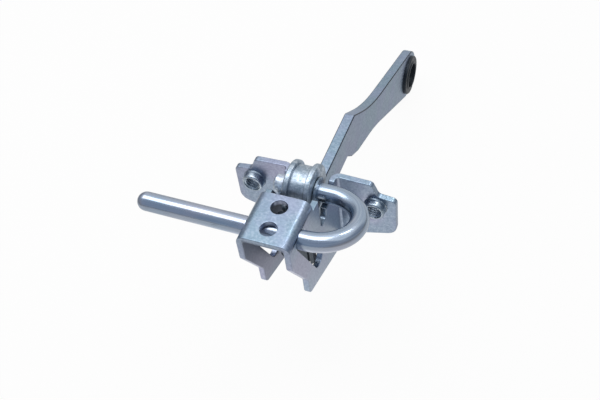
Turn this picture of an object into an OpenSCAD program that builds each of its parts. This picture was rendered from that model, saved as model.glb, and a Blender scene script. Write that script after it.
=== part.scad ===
// Door limiter strap: a profiled check arm runs between a sprung roller and a support roller.
// X runs from ear to ear, Y along the arm towards its eye, Z up through the top plate.
// The origin lies on the ears' seating face, midway between the two bolt axes.

/* [Fixing] */
// Distance between the two bolt axes
bolt_spacing = 62; // [56:0.5:70]
// Core diameter of the M8 thread in the bushes
bolt_core_d = 6.8; // [6:0.1:7]
// Diameter of the bush collar in front of the ear
bush_d = 10.6; // [10:0.1:12]
// Diameter of the bush shank pressed into the ear
bush_shank_d = 9.4; // [9:0.1:9.8]
// Height of the bush collar above the ear
bush_h = 4; // [3:0.25:6]

/* [Bracket channel] */
// Thickness of the folded steel sheet
sheet_t = 3; // [2.5:0.1:3.5]
// Inside radius of every fold
fold_r = 1.5; // [1:0.1:2]
// Outer width of the channel across its two walls
channel_w = 25; // [23:0.25:28]
// Distance from the seating face to the front edge of the channel
channel_len = 59; // [57:0.5:64]
// Length of the top plate along the channel
plate_len = 27; // [25:0.5:29]
// Diameter of the two holes in the top plate
plate_hole_d = 7.6; // [6:0.1:8.5]
// Distance between the two holes in the top plate
plate_hole_pitch = 12.4; // [11:0.1:14]
// Distance from the rear edge of the top plate to its first hole
plate_hole_edge = 6.8; // [6:0.1:8]
// Height of the ledge on each wall behind the top plate
ledge_z = 23.5; // [22:0.1:25]
// Length of the ledge behind the top plate
ledge_len = 7; // [4:0.1:8]
// Depth of the right wall's pocket below the short leg's notch
pocket_drop = 4.6; // [3:0.1:6]
// Height of the chin, where the front edge of each wall ends
chin_z = 14.7; // [12:0.1:17]
// Distance from the seating face to the front edge of each foot
foot_y = 46.2; // [44:0.1:50]
// Height of the ankle, where the foot leaves the chin's slope
ankle_z = -9.5; // [-12:0.1:-6]
// Height of the foot's tip
foot_z = -20.6; // [-23:0.1:-18]
// Radius of the foot's tip
foot_r = 4; // [2:0.1:5]
// Depth of the heel below the axis of the support pin
heel_drop = 13; // [11:0.1:15]
// Length of the slanted slot below the long leg
slot_len = 36.4; // [30:0.1:38]
// Slope of the slanted slot below the horizontal
slot_slope = 65.3; // [60:0.1:70]

/* [Bracket ears] */
// Height of the ear's inner top edge
ear_top = 14.7; // [13:0.1:16]
// Height of the stepped tab above the bolt
tab_top = 6.9; // [6.5:0.1:8.5]
// Distance from the bolt axis to the outer edge of the ear
ear_reach = 10.1; // [8.5:0.1:12]
// Depth of the ear's outer corner below the bolt axis
ear_low = 17.4; // [14:0.1:20]
// Fall of the ear's lower edge from that corner to the wall
ear_fall = 8.6; // [5:0.1:10]

/* [Spring rod] */
// Diameter of the spring rod
rod_d = 9; // [8:0.1:9.5]
// Distance from the seating face to the long leg
long_y = 47.2; // [46:0.1:48]
// Height of the long leg above the bolt axes
long_z = 22.6; // [21.5:0.1:25]
// Reach of the long leg from the middle plane to its plain end
long_reach = 67; // [60:0.5:85]
// Distance from the wall's face to the start of the loop
loop_gap = 2.3; // [1:0.1:4]
// Length of the short leg that stands out past the far wall
short_out = 1.4; // [1:0.1:4]
// Clearance between the rod and the edges of the bracket
rod_gap = 0.3; // [0.2:0.05:0.6]

/* [Roller] */
// Distance from the seating face to the roller's axis
roller_y = 13.4; // [13:0.1:14.5]
// Radius of the groove's floor
groove_r = 11; // [10:0.1:11.5]
// Height of the flanges above the groove's floor
flange_h = 1.8; // [1:0.1:2]
// Width of each flange
flange_w = 2.8; // [2:0.1:3]
// Clearance on each side of the arm in the groove
groove_gap = 1; // [0.4:0.05:1.2]
// Radial clearance of a part that turns on its shaft
turn_gap = 0.05; // [0.02:0.01:0.1]
// Clearance between the arm and each roller
run_gap = 0.3; // [0.2:0.05:0.5]
// Outer diameter of the washers beside the roller
washer_d = 14; // [12:0.25:16]
// Thickness of the washers beside the roller
washer_t = 1; // [0.6:0.1:1.2]
// Number of teeth on the push-on washer
washer_teeth = 6; // [4:1:8]

/* [Check arm] */
// Thickness of the arm
arm_t = 5.5; // [4.5:0.1:6.5]
// Height of the arm under the roller
arm_h = 18.1; // [16:0.1:20]
// Height of the running edge under the roller, above the bolt axes
run_z = 2.9; // [1.5:0.1:3.2]
// Fall of the running edge behind the roller
run_fall = 1.3; // [0.5:0.1:2]
// Length of the ramp where the running edge falls
ramp_len = 10; // [6:0.5:14]
// Distance from the seating face to the hump, where the running edge ends
hump_y = 50.3; // [46:0.1:54]
// Place of the valley behind the hump, along the arm
valley_y = 76; // [72:0.1:80]
// Height of the valley behind the hump
valley_z = -16.4; // [-19:0.1:-14]
// Radius of the valley behind the hump
valley_r = 24; // [16:1:30]
// Height of the arm below the valley
neck_h = 19.1; // [17:0.1:22]
// Shift of the neck's lower corner behind the valley
neck_shift = 4; // [2:0.1:6]
// Radius of the lower edge below the valley
neck_r = 30; // [20:1:40]
// Distance from the seating face to the step in the lower edge
step_y = 36.4; // [34:0.1:39]
// Depth of the step in the lower edge
step_h = 6; // [4:0.1:8]
// Depth of the belly, where the lower edge turns towards the eye
belly_h = 11.6; // [9:0.1:14]
// Distance from the step to the belly
belly_run = 16; // [14:0.1:18]
// Distance from the seating face to the eye
eye_y = 146; // [135:0.5:155]
// Height of the eye, below the bolt axes
eye_z = -54; // [-60:0.5:-48]
// Radius of the arm's round end
eye_r = 14.6; // [13.5:0.1:17]

/* [Stop plate] */
// Width of the stop plate across the channel
stop_w = 17; // [14:0.1:18]
// Thickness of the stop plate
stop_t = 3.2; // [2.5:0.1:3.5]
// Height of the stop plate above the running edge
stop_h = 8; // [6:0.1:8.5]
// Depth of the stop plate below the arm's lower edge
stop_drop = 6; // [4:0.1:8]
// Height of the arm's tenon in the stop plate
tenon_h = 10; // [8:0.1:13]
// Distance from the middle plane to each upright groove in the stop plate
stop_groove_x = 5.9; // [4.5:0.1:6.5]
// Width of each groove in the stop plate
stop_groove_w = 1; // [0.6:0.1:1.4]
// Depth of each groove in the stop plate
stop_groove_deep = 1.4; // [0.8:0.1:1.8]

/* [Eye bush] */
// Diameter of the bush's bore for the pillar pin
eye_bore_d = 15; // [12:0.1:16]
// Diameter of the hole in the arm
eye_hole_d = 18.6; // [18:0.1:20.5]
// Diameter of the bush's flange
eye_flange_d = 24; // [22:0.1:26]
// Thickness of the bush's flange
eye_flange_t = 2; // [1:0.1:2.5]
// Height of the snap lip behind the arm
lip_h = 0.6; // [0.3:0.05:1]
// Clearance of a part that is seated in a hole
seat_gap = 0.05; // [0.02:0.01:0.1]

/* [Support roller] */
// Diameter of the support roller under the arm
support_d = 11; // [10:0.1:13]
// Diameter of the riveted support pin
pin_d = 6; // [5:0.1:6.5]
// Diameter of the pin's two heads
pin_head_d = 9.5; // [8.5:0.1:11]
// Height of the pin's two heads
pin_head_h = 1.8; // [1:0.1:2.5]
// End clearance of a roller between its neighbours
end_gap = 0.3; // [0.2:0.05:0.5]

/* [Hidden] */
$fn = 96;

bolt_x = bolt_spacing / 2;
wall_x = channel_w / 2;
inner_x = wall_x - sheet_t;
fold_out = fold_r + sheet_t;
rod_r = rod_d / 2;
short_z = run_z + run_gap + groove_r;
support_z = run_z - arm_h - run_gap - support_d / 2;
notch_z = short_z - rod_r - 2 * rod_gap;
top_z = long_z + rod_r + rod_gap + sheet_t;
front_y = -channel_len;
plate_rear_y = front_y + plate_len;
fold_y = -fold_out;
ear_low_in = -ear_low - ear_fall;
leg_rise = short_z - long_z;
leg_run = long_y - roller_y;
leg_spacing = norm([leg_run, leg_rise]);
loop_tilt = atan2(leg_rise, leg_run);
loop_x = wall_x + loop_gap;
short_end_x = wall_x + short_out;
groove_w = arm_t + 2 * groove_gap;
roller_w = groove_w + 2 * flange_w;
washer_x = roller_w / 2 + end_gap;
flange_r = groove_r + flange_h;
flange_edge = 0.9;
flange_lip = 0.6;
arm_low_z = run_z - arm_h;
stop_y = -roller_y - flange_r - run_gap;
edge_r = 3;
nick_r = 1.5;
run_end_y = step_y - nick_r;
ear_hole_d = bush_shank_d + 2 * seat_gap;
zinc = "#a9b4c4";
bright = "#d5dae2";
black = "#17181b";
past = 1;
cut = 200;

function unit(v) = v / norm(v);

// Points of the arc of radius r that rounds corner p between its neighbours a and b
function round_corner(a, p, b, r, steps = 8) =
    let (u = unit(a - p), v = unit(b - p), half = acos(u * v) / 2)
    let (centre = p + unit(u + v) * r / sin(half), reach = r / tan(half))
    let (from = p + u * reach - centre, to = p + v * reach - centre)
    let (start = atan2(from.y, from.x), turn = atan2(cross(from, to), from * to))
    [for (i = [0:steps]) centre + r * [cos(start + turn * i / steps), sin(start + turn * i / steps)]];

// Closed outline through corners given as [x, y, radius], with each corner rounded by its radius
function rounded(corners) =
    let (n = len(corners), flat = [for (c = corners) [c.x, c.y]])
    [for (i = [0:n - 1])
        each corners[i][2] > 0
            ? round_corner(flat[(i + n - 1) % n], flat[i], flat[(i + 1) % n], corners[i][2])
            : [flat[i]]];

// Point where the line from p touches the circle of radius r at c, on the given side
function touch(p, c, r, side) =
    let (d = c - p, along = atan2(d.y, d.x) + side * asin(r / norm(d)), reach = sqrt(d * d - r * r))
    p + reach * [cos(along), sin(along)];

// Extrudes an outline drawn in Y and Z along X, centred on the middle plane
module across(width) {
    rotate([90, 0, 90]) linear_extrude(width, center = true) children();
}

// Cylinder along X between two places on the axis at y and z
module axle(y, z, x0, x1, d) {
    translate([x0, y, z]) rotate([0, 90, 0]) cylinder(d = d, h = x1 - x0);
}

// Folded bracket: section of the channel in X and Z, with its two round folds
module channel_section() {
    difference() {
        fold_frame(wall_x, top_z, fold_out);
        fold_frame(inner_x, top_z - sheet_t, fold_r);
    }
}

module fold_frame(half, top, r) {
    translate([-half, -cut / 2]) square([2 * half, cut / 2 + top - r]);
    translate([-half + r, top - r]) square([2 * (half - r), r]);
    for (side = [-1, 1]) translate([side * (half - r), top - r]) circle(r);
}

// Folded bracket: outline of each wall in Y and Z, from the chin round to the ear's fold
module wall_outline() {
    short_y = -roller_y;
    heel_run = fold_r + 2;
    polygon(rounded([
        [front_y, top_z + past, 0],
        [plate_rear_y, top_z + past, 0],
        [plate_rear_y, ledge_z, 1],
        [plate_rear_y + ledge_len, ledge_z, nick_r],
        [short_y - rod_r - rod_gap, notch_z, nick_r],
        [short_y + rod_r, notch_z, nick_r],
        [fold_y - fold_r, ear_top, 1],
        [fold_y, ear_top, 0],
        [fold_y, ear_low_in, 0],
        [fold_y - fold_r, ear_low_in, 1],
        [fold_y - heel_run, support_z - heel_drop, 2],
        [-foot_y, foot_z, foot_r],
        [-foot_y, ankle_z, edge_r],
        [front_y, chin_z, edge_r],
    ]));
}

// Folded bracket: pocket in the right wall, between the ledge and the short leg, in Y and Z
module wall_pocket() {
    front = plate_rear_y + ledge_len - past / 2;
    rear = -roller_y - rod_r - rod_gap;
    polygon(rounded([
        [front, ledge_z + past, 0],
        [front, notch_z - pocket_drop, 2],
        [rear - past, notch_z - pocket_drop, 2],
        [rear, notch_z, nick_r],
        [rear + nick_r, ledge_z + past, 0],
    ]));
}

// Folded bracket: hole in each wall for the long leg, with its slanted slot, in Y and Z
module leg_opening() {
    seat_r = rod_r + rod_gap;
    translate([-long_y, long_z]) {
        circle(seat_r);
        rotate(-slot_slope) {
            translate([0, -seat_r]) square([slot_len, 2 * seat_r]);
            translate([slot_len, 0]) circle(seat_r);
        }
    }
}

// Folded bracket: outline of the right ear in X and Z, with the stepped tab above the bolt
module ear_outline() {
    outer = bolt_x + ear_reach;
    step_in = bolt_x - 1.6;
    step_out = bolt_x + 1.2;
    top_fall = 0.6;
    corner_r = 2.5;
    low_r = 6;
    polygon(rounded([
        [wall_x + fold_r, ear_top, 0],
        [step_in, ear_top - top_fall, corner_r],
        [step_out, tab_top, corner_r],
        [outer, tab_top - 2 * top_fall, corner_r],
        [outer, -ear_low, low_r],
        [wall_x + fold_r, ear_low_in, 0],
    ]));
}

module right_ear() {
    difference() {
        rotate([90, 0, 0]) linear_extrude(sheet_t) ear_outline();
        translate([bolt_x, past, 0]) rotate([90, 0, 0]) cylinder(d = ear_hole_d, h = sheet_t + 2 * past);
    }
    translate([wall_x + fold_r, fold_y, ear_low_in]) rotate(90) rotate_extrude(angle = 90)
        translate([fold_r, 0]) square([sheet_t, ear_top - ear_low_in]);
}

module bracket() {
    color(zinc) {
        difference() {
            intersection() {
                translate([0, fold_y, 0]) rotate([90, 0, 0]) linear_extrude(cut) channel_section();
                across(cut) wall_outline();
            }
            across(cut) leg_opening();
            translate([cut / 2, 0, 0]) across(cut) wall_pocket();
            for (i = [0, 1])
                translate([0, plate_rear_y - plate_hole_edge - i * plate_hole_pitch, top_z - sheet_t - past])
                    cylinder(d = plate_hole_d, h = sheet_t + 2 * past);
            axle(-roller_y, support_z, -wall_x - past, wall_x + past, pin_d + 2 * seat_gap);
        }
        right_ear();
        mirror([1, 0, 0]) right_ear();
    }
}

// Threaded bush: turned collar with a shank clinched into the ear
module threaded_bush(x) {
    mouth = 0.8;
    color(bright) translate([x, 0, 0]) rotate([90, 0, 0]) difference() {
        union() {
            cylinder(d = bush_shank_d, h = sheet_t + past);
            translate([0, 0, sheet_t]) rotate_extrude() polygon(rounded([
                [0, 0, 0],
                [bush_d / 2, 0, 0],
                [bush_d / 2, bush_h, mouth],
                [0, bush_h, 0],
            ]));
        }
        translate([0, 0, -past]) cylinder(d = bolt_core_d, h = sheet_t + bush_h + 2 * past);
        translate([0, 0, sheet_t + bush_h - mouth])
            cylinder(d1 = bolt_core_d, d2 = bolt_core_d + 2 * past, h = past);
    }
}

module threaded_bush_left() { threaded_bush(-bolt_x); }

module threaded_bush_right() { threaded_bush(bolt_x); }

// Check arm: outline in Y and Z, from the tenon over the hump to the eye and back along the lower edge
module arm_outline() {
    eye = [eye_y, eye_z];
    valley = [valley_y, valley_z];
    neck = [valley_y + neck_shift, valley_z - neck_h];
    upper = touch(valley, eye, eye_r, 1);
    lower = touch(neck, eye, eye_r, -1);
    ramp_y = -roller_y / 2;
    tenon_z = (run_z + arm_low_z - tenon_h) / 2;
    polygon(rounded([
        [stop_y, arm_low_z, 0],
        [stop_y, tenon_z, 0],
        [stop_y - stop_t, tenon_z, 0],
        [stop_y - stop_t, tenon_z + tenon_h, 0],
        [stop_y, tenon_z + tenon_h, 0],
        [stop_y, run_z, 0],
        [ramp_y, run_z, ramp_len],
        [ramp_y + ramp_len, run_z - run_fall, ramp_len],
        [hump_y, run_z - run_fall, 4],
        [valley.x, valley.y, valley_r],
        [upper.x, upper.y, 0],
        [eye.x, eye.y, 0],
        [lower.x, lower.y, 0],
        [neck.x, neck.y, neck_r],
        [step_y + belly_run, arm_low_z - belly_h, 10],
        [step_y + step_h, arm_low_z - step_h, 1],
        [step_y, arm_low_z, 1],
    ]));
}

module arm_blank() {
    difference() {
        union() {
            across(arm_t) arm_outline();
            axle(eye_y, eye_z, -arm_t / 2, arm_t / 2, 2 * eye_r);
        }
        axle(eye_y, eye_z, -arm_t, arm_t, eye_hole_d);
    }
}

// Check arm: the straight run between the rollers and the shaped rest are two solids of one blank
module arm_run() {
    color(zinc) intersection() {
        arm_blank();
        translate([-cut / 2, run_end_y - cut, -cut / 2]) cube(cut);
    }
}

module check_arm() {
    color(zinc) intersection() {
        arm_blank();
        translate([-cut / 2, run_end_y, -cut / 2]) cube(cut);
    }
}

// Stop plate: moulded cross plate on the arm's tenon, grooved to give when it meets the roller's flanges
module stop_plate() {
    low = arm_low_z - stop_drop;
    high = run_z + stop_h;
    slot_w = arm_t + 2 * seat_gap;
    slot_h = tenon_h + 2 * seat_gap;
    color(black) translate([0, stop_y, 0]) rotate([90, 0, 0]) difference() {
        linear_extrude(stop_t) difference() {
            polygon(rounded([
                [-stop_w / 2, low, edge_r],
                [stop_w / 2, low, edge_r],
                [stop_w / 2, high, edge_r],
                [-stop_w / 2, high, edge_r],
            ]));
            translate([-slot_w / 2, (run_z + arm_low_z - slot_h) / 2]) square([slot_w, slot_h]);
        }
        for (side = [-1, 1])
            translate([side * stop_groove_x - stop_groove_w / 2, low - past, stop_t - stop_groove_deep])
                cube([stop_groove_w, high - low + 2 * past, stop_t]);
    }
}

// Eye bush: moulded sleeve with a flange, a raised rim and a snap lip behind the arm
module eye_bush() {
    bore_r = eye_bore_d / 2;
    sleeve_r = eye_hole_d / 2 - seat_gap;
    face = arm_t / 2;
    lip_t = 1.6;
    rim_t = 0.6;
    bevel = 0.4;
    rim_w = 1.2;
    nick_w = 3;
    color(black) translate([0, eye_y, eye_z]) rotate([0, 90, 0]) difference() {
        rotate_extrude() polygon([
            [bore_r, -face - lip_t],
            [sleeve_r, -face - lip_t],
            [sleeve_r + lip_h, -face - seat_gap],
            [sleeve_r, -face - seat_gap],
            [sleeve_r, face],
            [eye_flange_d / 2, face],
            [eye_flange_d / 2, face + eye_flange_t - bevel],
            [eye_flange_d / 2 - bevel, face + eye_flange_t],
            [bore_r + rim_w + bevel, face + eye_flange_t],
            [bore_r + rim_w, face + eye_flange_t + rim_t],
            [bore_r + bevel, face + eye_flange_t + rim_t],
            [bore_r, face + eye_flange_t + rim_t - bevel],
        ]);
        rotate(18) translate([eye_flange_d / 2 - past, -nick_w / 2, face])
            cube([2 * past, nick_w, eye_flange_t + past]);
    }
}

// Spring rod: round wire bent to a hook, long leg in the channel and short leg through the roller
module spring_rod() {
    leg_len = loop_x + long_reach - rod_r;
    color(bright) translate([0, -long_y, long_z]) rotate([loop_tilt, 0, 0]) {
        translate([loop_x, 0, 0]) rotate([0, -90, 0]) rotate_extrude() {
            square([rod_r, leg_len]);
            translate([0, leg_len]) intersection() {
                circle(rod_r);
                square(rod_d);
            }
        }
        translate([loop_x, leg_spacing / 2, 0]) rotate(-90) rotate_extrude(angle = 180)
            translate([leg_spacing / 2, 0]) rotate(90) circle(rod_r);
        axle(leg_spacing, 0, past - short_end_x, loop_x, rod_d);
        translate([-short_end_x, leg_spacing, 0]) rotate([0, 90, 0])
            cylinder(d1 = rod_d - 2 * past, d2 = rod_d, h = past);
    }
}

// Ring turned about the short leg, between two places along it, with its outer corners rounded
module spool_ring(x0, x1, r, round_left, round_right) {
    bore_r = rod_r + turn_gap;
    color(bright) translate([0, -roller_y, short_z]) rotate([0, 90, 0]) rotate_extrude() polygon(rounded([
        [bore_r, x0, 0],
        [r, x0, round_left],
        [r, x1, round_right],
        [bore_r, x1, 0],
    ]));
}

// Roller: turned sleeve that runs on the arm's edge, with a flange on each side of its groove
module roller() {
    spool_ring(-groove_w / 2, groove_w / 2, groove_r, 0, 0);
}

module roller_flange_left() {
    spool_ring(-roller_w / 2, -groove_w / 2, flange_r, flange_edge, flange_lip);
}

module roller_flange_right() {
    spool_ring(groove_w / 2, roller_w / 2, flange_r, flange_lip, flange_edge);
}

module rod_washer(x) {
    translate([x, -roller_y, short_z]) rotate([0, 90, 0]) difference() {
        cylinder(d = washer_d, h = washer_t);
        translate([0, 0, -past]) cylinder(d = rod_d + 2 * seat_gap, h = washer_t + 2 * past);
        children();
    }
}

// Push-on washer: spring-steel ring whose slit teeth grip the short leg
module push_on_washer() {
    slit_r = (rod_d + washer_d) / 4;
    slit_w = 1;
    color(bright) rod_washer(-washer_x - washer_t)
        for (i = [0:washer_teeth - 1]) rotate(i * 360 / washer_teeth)
            translate([0, -slit_w / 2, -past]) cube([slit_r, slit_w, washer_t + 2 * past]);
}

module thrust_washer() {
    color(zinc) rod_washer(washer_x);
}

// Support roller: plain sleeve on the pin, under the arm and level with the sprung roller
module support_roller() {
    half = inner_x - end_gap;
    bore_r = pin_d / 2 + turn_gap;
    corner_r = 0.6;
    color(bright) translate([0, -roller_y, support_z]) rotate([0, 90, 0]) rotate_extrude() polygon(rounded([
        [bore_r, -half, 0],
        [support_d / 2, -half, corner_r],
        [support_d / 2, half, corner_r],
        [bore_r, half, 0],
    ]));
}

// Support pin: riveted through both walls, with a domed head on each side
module support_pin() {
    color(zinc) translate([0, -roller_y, support_z]) rotate([0, 90, 0]) {
        cylinder(d = pin_d, h = 2 * wall_x + pin_head_h, center = true);
        for (side = [0, 1]) mirror([0, 0, side]) translate([0, 0, wall_x]) rotate_extrude() polygon(rounded([
            [0, 0, 0],
            [pin_head_d / 2, 0, 0],
            [pin_head_d / 2, pin_head_h, pin_head_h * 0.8],
            [0, pin_head_h, 0],
        ]));
    }
}

bracket();
threaded_bush_left();
threaded_bush_right();
arm_run();
check_arm();
stop_plate();
eye_bush();
spring_rod();
roller();
roller_flange_left();
roller_flange_right();
push_on_washer();
thrust_washer();
support_roller();
support_pin();
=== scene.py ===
"""Door limiter strap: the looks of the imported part, in the part's own frame and in metres."""

import math

import bmesh
import bpy
import numpy as np
from mathutils import Matrix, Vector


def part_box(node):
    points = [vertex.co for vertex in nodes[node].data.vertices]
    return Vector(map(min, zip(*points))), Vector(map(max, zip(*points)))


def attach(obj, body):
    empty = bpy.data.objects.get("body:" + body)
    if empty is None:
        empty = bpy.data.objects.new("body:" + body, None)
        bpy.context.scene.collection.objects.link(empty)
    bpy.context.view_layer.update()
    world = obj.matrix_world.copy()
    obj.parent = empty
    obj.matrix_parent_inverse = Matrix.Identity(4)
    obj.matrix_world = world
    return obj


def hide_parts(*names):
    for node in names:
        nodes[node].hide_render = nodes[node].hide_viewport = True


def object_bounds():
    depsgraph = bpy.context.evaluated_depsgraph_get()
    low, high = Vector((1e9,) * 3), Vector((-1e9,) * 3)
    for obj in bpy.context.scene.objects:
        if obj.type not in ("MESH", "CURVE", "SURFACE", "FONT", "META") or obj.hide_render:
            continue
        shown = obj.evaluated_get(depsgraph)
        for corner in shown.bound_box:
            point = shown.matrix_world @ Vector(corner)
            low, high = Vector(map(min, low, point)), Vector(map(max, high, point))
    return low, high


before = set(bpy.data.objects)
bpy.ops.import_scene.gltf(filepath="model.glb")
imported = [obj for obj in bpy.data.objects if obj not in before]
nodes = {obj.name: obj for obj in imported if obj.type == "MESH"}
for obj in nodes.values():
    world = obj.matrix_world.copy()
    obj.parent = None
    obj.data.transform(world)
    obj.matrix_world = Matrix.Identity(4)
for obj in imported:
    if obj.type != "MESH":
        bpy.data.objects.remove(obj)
cad_box = [list(corner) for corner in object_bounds()]


# Folded bracket: one blank of 3 mm steel sheet, pierced and folded to a channel with two ears.
# It is barrel plated with blue zinc after folding, and two bolts pull its ears against the door.
class Tone:
    """A value or colour that varies over a surface: one output in a material's node tree.

    Arithmetic on tones adds Math nodes, and add() puts in a node of any other kind.
    """

    def __init__(self, tree, socket=None):
        self.tree = tree
        self.socket = socket

    def add(self, kind, settings=None, inputs=None, output=0):
        """Adds a node, sets its settings and then its inputs, and gives the tone of one output."""
        node = self.tree.nodes.new(kind)
        for name, value in (settings or {}).items():
            setattr(node, name, value)
        for name, value in (inputs or {}).items():
            if isinstance(value, Tone):
                self.tree.links.new(value.socket, node.inputs[name])
            else:
                node.inputs[name].default_value = value
        return Tone(self.tree, node.outputs[output])

    def math(self, operation, first, second=0.0):
        return self.add("ShaderNodeMath", {"operation": operation}, {0: first, 1: second})

    def __add__(self, other):
        return self.math("ADD", self, other)

    __radd__ = __add__

    def __sub__(self, other):
        return self.math("SUBTRACT", self, other)

    def __rsub__(self, other):
        return self.math("SUBTRACT", other, self)

    def __mul__(self, other):
        return self.math("MULTIPLY", self, other)

    __rmul__ = __mul__

    def __truediv__(self, other):
        return self.math("DIVIDE", self, other)

    def __rtruediv__(self, other):
        return self.math("DIVIDE", other, self)

    def feed(self, shader, socket):
        self.tree.links.new(self.socket, shader.inputs[socket])


def new_finish(name, metallic, roughness):
    """Gives a new material, the start of its tones and its surface shader."""
    material = bpy.data.materials.new(name)
    material.use_nodes = True
    shader = material.node_tree.nodes["Principled BSDF"]
    shader.inputs["Metallic"].default_value = metallic
    shader.inputs["Roughness"].default_value = roughness
    return material, Tone(material.node_tree), shader


def noise(place, scale, detail=3.0, stretch=(1.0, 1.0, 1.0)):
    """Cloudy pattern between 0 and 1, with the given number of clouds per metre along each axis."""
    turned = place.add("ShaderNodeMapping", None, {"Vector": place, "Scale": stretch})
    return place.add("ShaderNodeTexNoise", None, {"Vector": turned, "Scale": scale, "Detail": detail})


def ramp(tone, low, high, to_low=0.0, to_high=1.0):
    """Follows a tone smoothly from to_low at low to to_high at high, and stays there outside."""
    return tone.add(
        "ShaderNodeMapRange",
        {"interpolation_type": "SMOOTHSTEP"},
        {"Value": tone, "From Min": low, "From Max": high, "To Min": to_low, "To Max": to_high},
    )


def part_along(place, axis):
    """One of the three parts of a place or direction."""
    return place.add("ShaderNodeSeparateXYZ", None, {0: place}, axis)


def blend_colours(share, first, second):
    """Mixes two colours by a share from 0, the first, to 1, the second."""
    return share.add("ShaderNodeMix", {"data_type": "RGBA"}, {0: share, 6: first, 7: second}, 2)


ZINC_BLUE = (0.29, 0.36, 0.48, 1.0)
ZINC_TEAL = (0.26, 0.36, 0.45, 1.0)
ZINC_LILAC = (0.36, 0.37, 0.50, 1.0)
# The bright tone serves for bright crystals and edges, and as painted light in recesses outside the channel.
ZINC_WEAR_AND_PAINTED_LIGHT = (0.55, 0.61, 0.69, 1.0)
ZINC_DULL = (0.15, 0.18, 0.24, 1.0)
# The shaded tone is painted shade, put between the channel walls and into the recesses of turned parts.
PAINTED_SHADE_ZINC = (0.10, 0.11, 0.15, 1.0)
# The near-black tone is painted shade for a dark line along rounded edges.
ZINC_PAINTED_EDGE_SHADE = (0.02, 0.025, 0.04, 1.0)


def zinc_plate(name, shift, roughness, lilac, shade, painted_edge_shade):
    """Blue zinc on steel: teal and lilac clouds, fine bright and dull crystals, and edges of their own tint.

    Upright faces are more lilac than flat ones, which lay uppermost in the bath.
    The edge share is one minus the cosine between the true face and the same face rounded at its edges.
    Shade is painted on the zinc between the walls of the channel, and narrow recesses outside it are painted
    lighter to lift their shade.
    A dark line of painted shade goes on corners whose face looks neither along X nor square to it, by the last
    share.
    """
    material, start, shader = new_finish(name, 1.0, roughness)
    object_place = start.add("ShaderNodeTexCoord", output="Object")
    place = start.add("ShaderNodeMapping", None, {"Vector": object_place, "Location": shift})
    face = start.add("ShaderNodeNewGeometry", output="True Normal")
    rounded = start.add("ShaderNodeBevel", {"samples": 6}, {"Radius": 0.0006})
    along = start.add("ShaderNodeVectorMath", {"operation": "DOT_PRODUCT"}, {0: rounded, 1: face}, "Value")
    edge = ramp(1.0 - along, 0.01, 0.16)
    openness = start.add("ShaderNodeAmbientOcclusion", {"samples": 8}, {"Distance": 0.022}, "AO")
    from_middle = start.math("ABSOLUTE", part_along(object_place, "X"))
    between = ramp(from_middle, 0.0102, 0.0094) * ramp(part_along(object_place, "Z"), 0.0292, 0.0276)
    recess = ramp(openness, 0.55, 0.15) * (1.0 - between)
    slant = start.math("ABSOLUTE", part_along(face, "X"))
    corner = ramp(slant, 0.15, 0.30) * ramp(slant, 0.98, 0.93)
    cloud = noise(place, 60.0, 2.0)
    drift = noise(place, 26.0, 1.0)
    crystal = noise(place, 950.0, 3.0)
    grain = noise(place, 3600.0, 2.0)
    tint = blend_colours(ramp(cloud, 0.40, 0.62), ZINC_TEAL, ZINC_BLUE)
    upright = 1.0 - start.math("ABSOLUTE", part_along(face, "Z"))
    tint = blend_colours((ramp(drift, 0.48, 0.66) * 0.65 + upright * 0.3) * lilac, tint, ZINC_LILAC)
    tint = blend_colours(ramp(crystal, 0.50, 0.68) * 0.30, tint, ZINC_DULL)
    tint = blend_colours(ramp(crystal, 0.50, 0.32) * 0.30, tint, ZINC_WEAR_AND_PAINTED_LIGHT)
    # Painted shade: the zinc between the channel walls is darkened towards the shaded tone.
    tint = blend_colours(between * shade, tint, PAINTED_SHADE_ZINC)
    # Painted light: narrow recesses outside the channel, found by ambient occlusion, are lightened.
    tint = blend_colours(recess * 0.8, tint, ZINC_WEAR_AND_PAINTED_LIGHT)
    tint = blend_colours(edge * 0.55, tint, ZINC_WEAR_AND_PAINTED_LIGHT)
    # Painted shade: a dark line on the rounded edges that slant between a side and the faces square to it.
    tint = blend_colours(corner * painted_edge_shade, tint, ZINC_PAINTED_EDGE_SHADE)
    tint.feed(shader, "Base Color")
    gloss = roughness + (grain - 0.5) * 0.20 + (cloud - 0.5) * 0.12 - edge * 0.06 + between * 0.07
    gloss.feed(shader, "Roughness")
    height = grain * 0.4 + crystal * 0.6
    relief = start.add("ShaderNodeBump", None, {"Strength": 0.14, "Distance": 0.0003, "Height": height})
    relief.feed(shader, "Normal")
    return material


def put_mesh(name, points, faces, smooth=True, sharp=180.0):
    """Makes an object from arrays of points and faces, with points that coincide merged into one.

    Edges that turn by more than the sharp angle, in degrees, keep a hard line in the shading.
    """
    mesh = bpy.data.meshes.new(name)
    mesh.from_pydata(points.reshape(-1, 3).tolist(), [], faces.reshape(-1, faces.shape[-1]).tolist())
    work = bmesh.new()
    work.from_mesh(mesh)
    bmesh.ops.remove_doubles(work, verts=work.verts, dist=1e-7)
    work.to_mesh(mesh)
    work.free()
    mesh.polygons.foreach_set("use_smooth", np.full(len(mesh.polygons), smooth))
    mesh.set_sharp_from_angle(angle=math.radians(sharp))
    piece = bpy.data.objects.new(name, mesh)
    bpy.context.scene.collection.objects.link(piece)
    return piece


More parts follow.
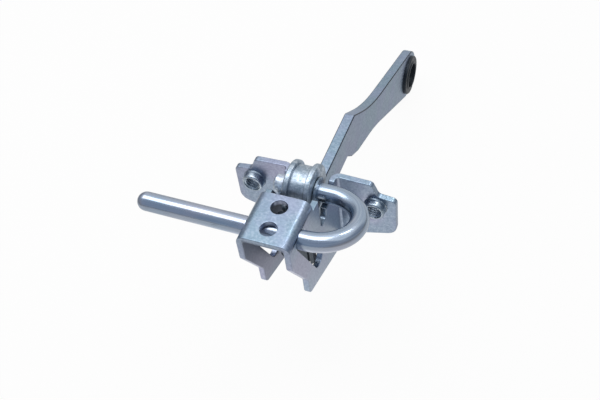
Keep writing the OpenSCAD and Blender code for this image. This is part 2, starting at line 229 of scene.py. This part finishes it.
def pressed_copy(name, sources, width, seam_y=math.inf):
    """One mesh from the triangles of some CAD nodes, with its flat faces joined and its edges rounded.

    Triangles with all corners on the seam plane between two nodes are left out, so that the nodes join.
    Neighbours in one plane become one face, and a bevel of the given width rounds each edge over 35 degrees.
    """
    triangles = []
    for source in sources:
        mesh = nodes[source].data
        mesh.calc_loop_triangles()
        points = np.empty(len(mesh.vertices) * 3, np.float32)
        corners = np.empty(len(mesh.loop_triangles) * 3, np.int32)
        mesh.vertices.foreach_get("co", points)
        mesh.loop_triangles.foreach_get("vertices", corners)
        triangles.append(points.reshape(-1, 3)[corners].reshape(-1, 3, 3))
    triangles = np.concatenate(triangles)
    on_seam = np.all(np.abs(triangles[:, :, 1] - seam_y) < 2e-6, axis=1)
    triangles = triangles[~on_seam]
    piece = put_mesh(name, triangles, np.arange(triangles.size // 3).reshape(-1, 3), sharp=35.0)
    work = bmesh.new()
    work.from_mesh(piece.data)
    bmesh.ops.remove_doubles(work, verts=work.verts, dist=2e-6)
    bmesh.ops.dissolve_limit(work, angle_limit=math.radians(0.4), verts=work.verts, edges=work.edges)
    work.to_mesh(piece.data)
    work.free()
    rounding = piece.modifiers.new("pressed_edges", "BEVEL")
    rounding.width = width
    rounding.segments = 2
    rounding.limit_method = "ANGLE"
    rounding.angle_limit = math.radians(35.0)
    rounding.use_clamp_overlap = False
    rounding.harden_normals = True
    return piece


SHEET_ROUNDING = 0.00038
sheet = pressed_copy("folded_sheet", ["bracket"], SHEET_ROUNDING)
# The sheet's 0.55 share paints shade between the walls of its channel.
sheet.data.materials.append(zinc_plate("zinc_sheet", (0.013, 0.031, 0.007), 0.33, 1.0, 0.55, 0.0))
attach(sheet, "bracket")
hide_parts("bracket")


# Threaded bushes: two turned steel collars, each with a shank clinched into its ear and an M8 thread.
# The thread is cut right through, so its flanks show in the mouth of the collar.
def grid_faces(rows, columns, close_rows=False, close_columns=False):
    """Four-cornered faces between neighbours on a grid of points, closed round where that is asked for."""
    i = np.arange(rows if close_rows else rows - 1)[:, None]
    j = np.arange(columns if close_columns else columns - 1)[None, :]
    k, m = (i + 1) % rows, (j + 1) % columns
    corners = [i * columns + j, k * columns + j, k * columns + m, i * columns + m]
    return np.stack(np.broadcast_arrays(*corners), axis=-1)


low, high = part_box("threaded_bush_left")
BUSH_R = (high.x - low.x) / 2
BUSH_Z = (low.z + high.z) / 2
BUSH_FRONT, BUSH_REAR = low.y, high.y
SHANK_R, EAR_T = 0.0047, 0.003
COLLAR_FILLET, COLLAR_ROUND = 0.0005, 0.0009
THREAD_PITCH, THREAD_CORE, THREAD_DEPTH = 0.00125, 0.0034, 0.00062
CHAMFER_FRONT, CHAMFER_REAR = 0.0008, 0.0006


def threaded_collar(name, x):
    """A profile turned about the bolt axis, closed on itself through the bore.

    Outside, quarter circles round the collar's foot and its front rim. In the bore the radius is the core
    plus a rounded saw tooth of the depth along the axis, which is moved by one pitch for each turn of the
    angle, and which fades out in the chamfers at both ends.
    """
    turns = np.linspace(0.0, 2.0 * math.pi, 96, endpoint=False)[:, None]
    front, rear = BUSH_FRONT, BUSH_REAR
    quarter = np.radians(np.linspace(0.0, 90.0, 7))
    foot_r = BUSH_R + COLLAR_FILLET * (1.0 - np.sin(quarter))
    foot_y = -EAR_T - COLLAR_FILLET * (1.0 - np.cos(quarter))
    rim_r = BUSH_R - COLLAR_ROUND * (1.0 - np.cos(quarter))
    rim_y = front + COLLAR_ROUND * (1.0 - np.sin(quarter))
    bore = np.linspace(front, rear, 180)
    outer_r = np.concatenate([[SHANK_R, SHANK_R], foot_r, rim_r])
    radius = np.concatenate([outer_r, np.full(bore.size, THREAD_CORE)])
    along = np.concatenate([[rear, -EAR_T], foot_y, rim_y, bore])
    in_bore = np.arange(radius.size) >= outer_r.size
    phase = along[None, :] / THREAD_PITCH - turns / (2.0 * math.pi)
    tooth = np.abs(2.0 * (phase - np.floor(phase)) - 1.0)
    tooth = np.clip(1.35 * tooth - 0.12, 0.0, 1.0)
    from_front, from_rear = (along - front) / CHAMFER_FRONT, (rear - along) / CHAMFER_REAR
    mouth = np.clip(from_front, 0.0, 1.0) * np.clip(from_rear, 0.0, 1.0)
    flare = CHAMFER_FRONT * np.clip(1.0 - from_front, 0.0, 1.0)
    flare = flare + CHAMFER_REAR * np.clip(1.0 - from_rear, 0.0, 1.0)
    radius = radius[None, :] + in_bore * (THREAD_DEPTH * tooth * mouth + flare)
    points = np.stack([
        x + radius * np.cos(turns), np.broadcast_to(along, radius.shape), BUSH_Z + radius * np.sin(turns),
    ], axis=-1)
    return put_mesh(name, points, grid_faces(*radius.shape, close_rows=True, close_columns=True), sharp=50.0)


TURNED_BLUE = (0.20, 0.27, 0.34, 1.0)
TURNED_PALE = (0.33, 0.40, 0.48, 1.0)
TURNED_BRIGHT = (0.66, 0.73, 0.80, 1.0)


def turned_zinc(name, centre, roughness, streaks):
    """Frosty zinc on turned steel: fine rings left by the tool round an axis through the centre, and sparkle.

    The rings follow the distance from the centre in the two directions across the axis, with noise, and
    the sparkle is a noise of small crystals that are brighter and smoother than the ground between them.
    """
    material, start, shader = new_finish(name, 1.0, roughness)
    object_place = start.add("ShaderNodeTexCoord", output="Object")
    place = start.add("ShaderNodeMapping", None, {"Vector": object_place, "Location": centre})
    flat = start.add("ShaderNodeVectorMath", {"operation": "MULTIPLY"}, {0: place, 1: streaks})
    reach = start.add("ShaderNodeVectorMath", {"operation": "LENGTH"}, {0: flat}, "Value")
    axis_share = tuple(1.0 - s for s in streaks)
    height = start.add("ShaderNodeVectorMath", {"operation": "DOT_PRODUCT"}, {0: place, 1: axis_share}, "Value")
    lines = start.add("ShaderNodeCombineXYZ", None, {0: reach * 9000.0, 1: height * 9000.0, 2: 0.0})
    ring = start.add("ShaderNodeTexNoise", None, {"Vector": lines, "Scale": 1.0, "Detail": 2.0})
    rounded = start.add("ShaderNodeBevel", {"samples": 6}, {"Radius": 0.0003})
    cloud = noise(object_place, 160.0, 2.0)
    sparkle = ramp(noise(object_place, 1700.0, 2.0), 0.50, 0.68)
    openness = start.add("ShaderNodeAmbientOcclusion", {"samples": 8}, {"Distance": 0.006}, "AO")
    recess = 1.0 - ramp(openness, 0.25, 0.60)
    frost = noise(object_place, 420.0, 2.0)
    tint = blend_colours(ramp(cloud, 0.38, 0.66), TURNED_BLUE, TURNED_PALE)
    tint = blend_colours(ramp(frost, 0.46, 0.66) * 0.55, tint, TURNED_BRIGHT)
    tint = blend_colours(ramp(ring, 0.30, 0.75) * 0.25, tint, TURNED_BRIGHT)
    tint = blend_colours(sparkle * 0.55, tint, TURNED_BRIGHT)
    # Painted shade: recesses such as the threaded bores, found by ambient occlusion, are darkened towards the
    # shaded tone.
    tint = blend_colours(recess * 0.8, tint, PAINTED_SHADE_ZINC)
    tint.feed(shader, "Base Color")
    gloss = roughness + (ring - 0.5) * 0.14 + (cloud - 0.5) * 0.10 + (0.5 - frost) * 0.45 - sparkle * 0.06
    gloss.feed(shader, "Roughness")
    height = ring * 0.5 + sparkle * 0.5
    relief = start.add(
        "ShaderNodeBump", None, {"Strength": 0.15, "Distance": 0.0001, "Height": height, "Normal": rounded}
    )
    relief.feed(shader, "Normal")
    return material


for node in ("threaded_bush_left", "threaded_bush_right"):
    low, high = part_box(node)
    bush_x = (low.x + high.x) / 2
    collar = threaded_collar("m8_" + node, bush_x)
    collar.data.materials.append(turned_zinc("zinc_" + node, (-bush_x, 0.0, -BUSH_Z), 0.32, (1.0, 0.0, 1.0)))
    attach(collar, "bracket")
    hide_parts(node)


# Support roller and its pin: a plain turned sleeve under the arm, on a pin riveted through both walls.
# Both are zinc plated, and the pin's heads are formed by the rivet tool.
low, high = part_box("support_roller")
support_axis = (0.0, -(low.y + high.y) / 2, -(low.z + high.z) / 2)
for node in ("support_roller", "support_pin"):
    nodes[node].material_slots[0].material = turned_zinc("zinc_" + node, support_axis, 0.27, (0.0, 1.0, 1.0))


# Check arm: one flat blank of 5.5 mm steel with a profiled edge, sheared in a press and zinc plated.
# Its round end carries the bush for the pin on the door pillar, and its inner end has a tenon.
ARM_ROUNDING = 0.00045
UPPER_BEND = ((0.0725, -0.0180), (0.0800, -0.0138))
LOWER_BEND = ((0.0769, -0.0371), (0.0829, -0.0343))
BEND_R = 0.125


def ease_bend(piece, low, high, radius):
    """Moves the points of one bend in the arm's edge out to a wider arc between the same two straight lines.

    The bend's own chords give the direction of both lines, and so their corner. The new points stand at equal
    angles on a circle of the given radius that touches the lines. The box is given by its corners in Y and Z.
    """
    places = np.empty(len(piece.data.vertices) * 3, np.float32)
    piece.data.vertices.foreach_get("co", places)
    places = places.reshape(-1, 3)
    found = np.flatnonzero(np.all((places[:, 1:] > low) & (places[:, 1:] < high), axis=1))
    _, first, row = np.unique(places[found, 1].round(5), return_index=True, return_inverse=True)
    bend = places[found[first], 1:].astype(float)
    chords = np.diff(bend, axis=0)
    headings = np.arctan2(chords[:, 1], chords[:, 0])
    half_step = (headings[-1] - headings[0]) / (len(headings) - 1) / 2
    turns = np.linspace(headings[0] - half_step, headings[-1] + half_step, len(bend))
    line_in, line_out = (np.array([math.cos(turn), math.sin(turn)]) for turn in (turns[0], turns[-1]))
    to_corner = np.linalg.solve(np.stack([line_in, line_out], axis=1), bend[-1] - bend[0])[0]
    arc_start = bend[0] + (to_corner - radius * math.tan(abs(turns[-1] - turns[0]) / 2)) * line_in
    signed_radius = math.copysign(radius, turns[-1] - turns[0])
    arc = np.stack([np.sin(turns) - np.sin(turns[0]), np.cos(turns[0]) - np.cos(turns)], axis=-1)
    places[found, 1:] = (arc_start + signed_radius * arc)[row]
    piece.data.vertices.foreach_set("co", places.ravel())
    piece.data.update()


low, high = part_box("arm_run")
arm = pressed_copy("profiled_arm", ["arm_run", "check_arm"], ARM_ROUNDING, high.y)
ease_bend(arm, *UPPER_BEND, BEND_R)
ease_bend(arm, *LOWER_BEND, BEND_R)
# The arm's last share, 0.9, paints a dark line of shade along its rounded edges.
arm.data.materials.append(zinc_plate("zinc_arm", (0.0, 0.017, 0.041), 0.36, 0.35, 0.0, 0.9))
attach(arm, "check_arm")
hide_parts("arm_run", "check_arm")


# Eye bush and stop plate: a black moulded sleeve with a flange, snapped into the arm's eye from one side,
# and a black moulded plate pushed on the tenon at the arm's other end. Their rims are rubbed a little.
def moulded_black(name, dark, pale):
    """Near black plastic: slow clouds of two tones, a fine pebbled skin and paler rubbed edges."""
    material, start, shader = new_finish(name, 0.0, 0.42)
    shader.inputs["Specular Tint"].default_value = (0.74, 0.88, 1.0, 1.0)
    place = start.add("ShaderNodeTexCoord", output="Object")
    face = start.add("ShaderNodeNewGeometry", output="True Normal")
    rounded = start.add("ShaderNodeBevel", {"samples": 6}, {"Radius": 0.0004})
    along = start.add("ShaderNodeVectorMath", {"operation": "DOT_PRODUCT"}, {0: rounded, 1: face}, "Value")
    edge = ramp(1.0 - along, 0.01, 0.2)
    cloud = noise(place, 130.0, 3.0)
    skin = noise(place, 3400.0, 2.0)
    tint = blend_colours(ramp(cloud, 0.35, 0.7), dark, pale)
    tint = blend_colours(edge * 0.5, tint, (0.040, 0.048, 0.060, 1.0))
    tint.feed(shader, "Base Color")
    gloss = 0.40 + (cloud - 0.5) * 0.2 + (skin - 0.5) * 0.15
    gloss.feed(shader, "Roughness")
    relief = start.add(
        "ShaderNodeBump", None, {"Strength": 0.12, "Distance": 0.0002, "Height": skin, "Normal": rounded}
    )
    relief.feed(shader, "Normal")
    return material


nodes["eye_bush"].material_slots[0].material = moulded_black(
    "black_eye_bush", (0.007, 0.008, 0.011, 1.0), (0.018, 0.021, 0.027, 1.0)
)
nodes["stop_plate"].material_slots[0].material = moulded_black(
    "black_stop_plate", (0.055, 0.070, 0.094, 1.0), (0.100, 0.122, 0.156, 1.0)
)


# Spring rod: round spring-steel wire, bent cold to a hook and zinc plated bright.
# The long leg lies in the channel, and the short leg passes through the roller as its axle.
low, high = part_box("roller")
SHORT_Y, SHORT_Z = (low.y + high.y) / 2, (low.z + high.z) / 2
low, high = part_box("spring_rod")
WIRE_R = 0.0045
LONG_Y, LONG_Z = low.y + WIRE_R, high.z - WIRE_R
LONG_END = low.x
LEG_SPACING = math.hypot(SHORT_Y - LONG_Y, SHORT_Z - LONG_Z)
LOOP_X = high.x - WIRE_R - LEG_SPACING / 2
ROD_SHORT_END = -0.0139
SHORT_CHAMFER = 0.001
STAKED_LENGTH = 0.0062


def hook_path():
    """Centre line of the hook, its direction, the normal of its plane and the wire's radius at each point.

    The line runs from the long leg's plain end along X, half a turn round the loop, and back along the
    short leg. The radius rises over the long end as a quarter circle, falls in the short end's chamfer and
    drops to nothing on its flat face.
    """
    across = np.array([0.0, SHORT_Y - LONG_Y, SHORT_Z - LONG_Z]) / LEG_SPACING
    start = np.array([0.0, LONG_Y, LONG_Z])
    lift = np.radians(np.linspace(0.0, 90.0, 14))
    dome_x = LONG_END + WIRE_R * (1.0 - np.cos(lift))
    long_x = np.concatenate([dome_x, np.linspace(LONG_END + WIRE_R, LOOP_X, 60)[1:]])
    bend = np.radians(np.linspace(-90.0, 90.0, 97))[1:]
    bend_x = LOOP_X + LEG_SPACING / 2 * np.cos(bend)
    bend_v = LEG_SPACING / 2 * (1.0 + np.sin(bend))
    chamfer = np.linspace(0.0, SHORT_CHAMFER, 4)
    chamfer_x = ROD_SHORT_END + SHORT_CHAMFER - chamfer[1:]
    straight_x = np.linspace(LOOP_X, ROD_SHORT_END + SHORT_CHAMFER, 30)[1:]
    short_x = np.concatenate([straight_x, chamfer_x, chamfer_x[-1:]])
    x = np.concatenate([long_x, bend_x, short_x])
    v = np.concatenate([np.zeros(long_x.size), bend_v, np.full(short_x.size, LEG_SPACING)])
    dx = np.concatenate([np.ones(long_x.size), -np.sin(bend), -np.ones(short_x.size)])
    dv = np.concatenate([np.zeros(long_x.size), np.cos(bend), np.zeros(short_x.size)])
    radius = np.full(x.size, WIRE_R)
    radius[:lift.size] = WIRE_R * np.sin(lift)
    radius[-4:-1] = WIRE_R - chamfer[1:]
    radius[-1] = 0.0
    centre = start + x[:, None] * np.array([1.0, 0.0, 0.0]) + v[:, None] * across
    heading = dx[:, None] * np.array([1.0, 0.0, 0.0]) + dv[:, None] * across
    upright = np.cross(np.array([1.0, 0.0, 0.0]), across)
    return centre, heading, upright, radius


def sweep_round(centre, heading, upright, radius, sides):
    """Circles of the given radius round a flat path, each square to it; gives points by path and angle."""
    angle = np.linspace(0.0, 2.0 * math.pi, sides, endpoint=False)
    outward = np.cross(heading, upright)
    across, along = np.cos(angle)[None, :, None], np.sin(angle)[None, :, None]
    spoke = outward[:, None, :] * across + upright[None, None, :] * along
    return centre[:, None, :] + radius[:, None, None] * spoke


WIRE_SIDES = 64
centre, heading, upright, radius = hook_path()
rings = sweep_round(centre, heading, upright, radius, WIRE_SIDES)
rod = put_mesh("hook_rod", rings, grid_faces(*rings.shape[:2], close_columns=True), sharp=40.0)
travel = np.concatenate([[0.0], np.cumsum(np.linalg.norm(np.diff(centre, axis=0), axis=1))])
wrap = np.linspace(0.0, 2.0 * math.pi, WIRE_SIDES, endpoint=False)
drawn = np.stack(np.broadcast_arrays(
    travel[:, None], WIRE_R * np.cos(wrap)[None, :], WIRE_R * np.sin(wrap)[None, :]), axis=-1)
drawn = drawn.reshape(-1, 3)[WIRE_SIDES - 1:-WIRE_SIDES + 1].astype(np.float32)
mesh = rod.data
mesh.attributes.new("drawn", "FLOAT_VECTOR", "POINT").data.foreach_set("vector", drawn.ravel())


DRAWN_BLUE = (0.34, 0.42, 0.53, 1.0)
DRAWN_PALE = (0.43, 0.46, 0.56, 1.0)


def drawn_zinc(name, staked_from):
    """Bright zinc on drawn wire: fine lines along the wire, slow clouds, and dull flecks from the bend tool.

    The pattern's place on the wire is the length along it and the two distances across it. From the given
    length on, the short end is frosted by the tool that pushed the washer on.
    """
    material, start, shader = new_finish(name, 1.0, 0.22)
    wire = start.add("ShaderNodeAttribute", {"attribute_name": "drawn"}, output="Vector")
    line = noise(wire, 2400.0, 3.0, (0.02, 1.0, 1.0))
    cloud = noise(wire, 110.0, 2.0, (0.5, 1.0, 1.0))
    fleck = ramp(noise(wire, 700.0, 2.0, (0.3, 1.0, 1.0)), 0.62, 0.74)
    tint = blend_colours(ramp(cloud, 0.36, 0.66), DRAWN_BLUE, DRAWN_PALE)
    tint = blend_colours(ramp(line, 0.35, 0.8) * 0.35, tint, TURNED_BRIGHT)
    tint = blend_colours(fleck * 0.25, tint, ZINC_DULL)
    staked = ramp(part_along(wire, "X"), staked_from, staked_from + 0.0004)
    dent = noise(wire, 900.0, 2.0)
    tint = blend_colours(staked * ramp(dent, 0.42, 0.62), tint, TURNED_BRIGHT)
    tint.feed(shader, "Base Color")
    gloss = 0.22 + (line - 0.5) * 0.10 + (cloud - 0.5) * 0.10 + fleck * 0.08 + staked * 0.24
    gloss.feed(shader, "Roughness")
    height = line * 0.3 + staked * dent
    relief = start.add("ShaderNodeBump", None, {"Strength": 0.33, "Distance": 0.0001, "Height": height})
    relief.feed(shader, "Normal")
    return material


mesh.materials.append(drawn_zinc("zinc_rod", float(travel[-1]) - STAKED_LENGTH))
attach(rod, "spring_rod")
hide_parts("spring_rod")


# Roller and its two washers: a turned spool that runs on the arm's edge, kept on the short leg
# by a toothed push-on washer on one side and a plain thrust washer on the other.
spool_axis = (0.0, -SHORT_Y, -SHORT_Z)
spool_zinc = turned_zinc("zinc_roller", spool_axis, 0.42, (0.0, 1.0, 1.0))
for node in ("roller", "roller_flange_left", "roller_flange_right"):
    nodes[node].material_slots[0].material = spool_zinc
for node in ("push_on_washer", "thrust_washer"):
    nodes[node].material_slots[0].material = turned_zinc("zinc_" + node, spool_axis, 0.34, (0.0, 1.0, 1.0))


# Studio: a plain white floor and sky, one broad lamp overhead and a small one at the rear right.
# Metal mirrors darker wings in front and on both sides, as the boards that are set round bright metal,
# and a brighter card on the floor below the bracket.
scene = bpy.context.scene
scene.view_settings.view_transform = "Standard"


def ray_shares(start):
    """Two shares of 0 or 1: the rays that come from the camera, and the rays that metal or glass sends on."""
    rays = start.add("ShaderNodeLightPath").socket.node
    camera_ray, glossy_ray, clear_ray = (
        Tone(start.tree, rays.outputs["Is " + kind + " Ray"]) for kind in ("Camera", "Glossy", "Transmission")
    )
    return camera_ray, start.math("MAXIMUM", glossy_ray, clear_ray)


SKY_LEVEL = 0.45
PAPER_WHITE = (0.98, 0.98, 0.98, 1.0)
ROOM_BRIGHT, ROOM_TOP = (0.78, 0.79, 0.80, 1.0), (1.00, 1.03, 1.07, 1.0)
FRONT_WING, LEFT_WING, RIGHT_WING = (0.36, 0.42, 0.51, 1.0), (0.38, 0.40, 0.44, 1.0), (0.34, 0.38, 0.44, 1.0)
world = bpy.data.worlds.new("white_studio")
scene.world = world
world.use_nodes = True
start = Tone(world.node_tree)
backdrop = world.node_tree.nodes["Background"]
direction = start.add("ShaderNodeTexCoord", output="Generated")
right, rear, up = (part_along(direction, axis) for axis in "XYZ")
low_down = ramp(up, 0.65, 0.35)
room = blend_colours(ramp(up, 0.45, 0.75), ROOM_BRIGHT, ROOM_TOP)
room = blend_colours(ramp(rear, -0.16, -0.30), room, FRONT_WING)
room = blend_colours(ramp(right, -0.50, -0.72) * low_down, room, LEFT_WING)
room = blend_colours(ramp(right, 0.50, 0.72) * low_down, room, RIGHT_WING)
camera_ray, mirrored = ray_shares(start)
level = blend_colours(camera_ray, (SKY_LEVEL, SKY_LEVEL, SKY_LEVEL, 1.0), PAPER_WHITE)
level = blend_colours(mirrored, level, room)
level.feed(backdrop, "Color")

FLOOR_HALF = 3.0
PAPER_SHARE, TABLE_SHARE = 0.94, 0.9
TABLE_LEVEL, TABLE_DARK, TABLE_NEAR, TABLE_FAR = 0.72, 0.30, 0.17, 0.42
CARD_PLACE, CARD_NEAR, CARD_FAR, CARD_LEVEL = (0.012, 0.062, 0.0), 0.02, 0.10, 0.40
floor_z = cad_box[0][2] - 0.0005
flat = np.array([[-1, -1], [1, -1], [1, 1], [-1, 1]]) * FLOOR_HALF
floor = put_mesh("floor", np.c_[flat, np.full(4, floor_z)], np.array([[0, 1, 2, 3]]), smooth=False)
material, start, shader = new_finish("white_floor", 0.0, 0.9)
shader.inputs["Base Color"].default_value = (0.9, 0.9, 0.9, 1.0)
shader.inputs["Specular IOR Level"].default_value = 0.0
place = start.add("ShaderNodeTexCoord", output="Object")
sideways = start.math("ABSOLUTE", part_along(place, "X"))
flat_place = start.add("ShaderNodeVectorMath", {"operation": "MULTIPLY"}, {0: place, 1: (1.0, 1.0, 0.0)})
from_card = start.add("ShaderNodeVectorMath", {"operation": "ADD"}, {0: flat_place, 1: CARD_PLACE})
away = start.add("ShaderNodeVectorMath", {"operation": "LENGTH"}, {0: from_card}, "Value")
table = ramp(sideways, TABLE_NEAR, TABLE_FAR, TABLE_LEVEL, TABLE_DARK)
table = table + ramp(away, CARD_FAR, CARD_NEAR) * CARD_LEVEL
camera_ray, mirrored = ray_shares(start)
glow = start.add("ShaderNodeEmission", None, {"Color": camera_ray + mirrored * table, "Strength": 1.0})
shade = start.add(
    "ShaderNodeMixShader", None,
    {0: camera_ray * PAPER_SHARE + mirrored * TABLE_SHARE, 1: Tone(start.tree, shader.outputs[0]), 2: glow},
)
shade.feed(material.node_tree.nodes["Material Output"], "Surface")
floor.data.materials.append(material)


def soft_lamp(name, place, toward, width, height, power):
    """A rectangular lamp that faces the object."""
    lamp = bpy.data.lights.new(name, "AREA")
    lamp.shape = "RECTANGLE"
    lamp.size, lamp.size_y, lamp.energy = width, height, power
    holder = bpy.data.objects.new(name, lamp)
    place, toward = np.array(place), np.array(toward)
    back = (place - toward) / np.linalg.norm(place - toward)
    side = np.cross([0.0, 1.0, 0.0], back)
    side /= np.linalg.norm(side)
    over = np.cross(back, side)
    turn = np.eye(4)
    turn[:3, 0], turn[:3, 1], turn[:3, 2], turn[:3, 3] = side, over, back, place
    holder.matrix_world = Matrix(turn.tolist())
    scene.collection.objects.link(holder)


soft_lamp("key_overhead", (-0.24, 0.06, 0.76), (-0.24, 0.06, 0.0), 0.9, 0.46, 3.0)
soft_lamp("strip_rear_right", (0.27, 0.58, 0.78), (0.0, -0.02, 0.0), 0.14, 0.14, 0.65)


# Camera: the photograph's own view, from the front, above and a little to the right, tilted by 8 degrees.
# Its place and focal length come from fitting the part's outlines to the picture.
VIEW_TO = np.array([0.29873, -0.57447, 0.76207])
VIEW_RIGHT = np.array([0.92902, 0.35776, -0.09448])
VIEW_UP = np.array([-0.21836, 0.73620, 0.64057])
VIEW_TARGET = np.array([0.00072, -0.020, 0.01378])
VIEW_DISTANCE = 0.400
FOCUS_PIXELS, FRAME_PIXELS = 874.13, 600.0
view = bpy.data.cameras.new("photo_view")
view.sensor_fit = "HORIZONTAL"
view.sensor_width = 36.0
view.lens = FOCUS_PIXELS / FRAME_PIXELS * view.sensor_width
view.clip_start = 0.01
camera = bpy.data.objects.new("photo_view", view)
turn = np.eye(4)
turn[:3, 0], turn[:3, 1], turn[:3, 2] = VIEW_RIGHT, VIEW_UP, VIEW_TO
turn[:3, 3] = VIEW_TARGET + VIEW_DISTANCE * VIEW_TO
camera.matrix_world = Matrix(turn.tolist())
scene.collection.objects.link(camera)
scene.camera = camera
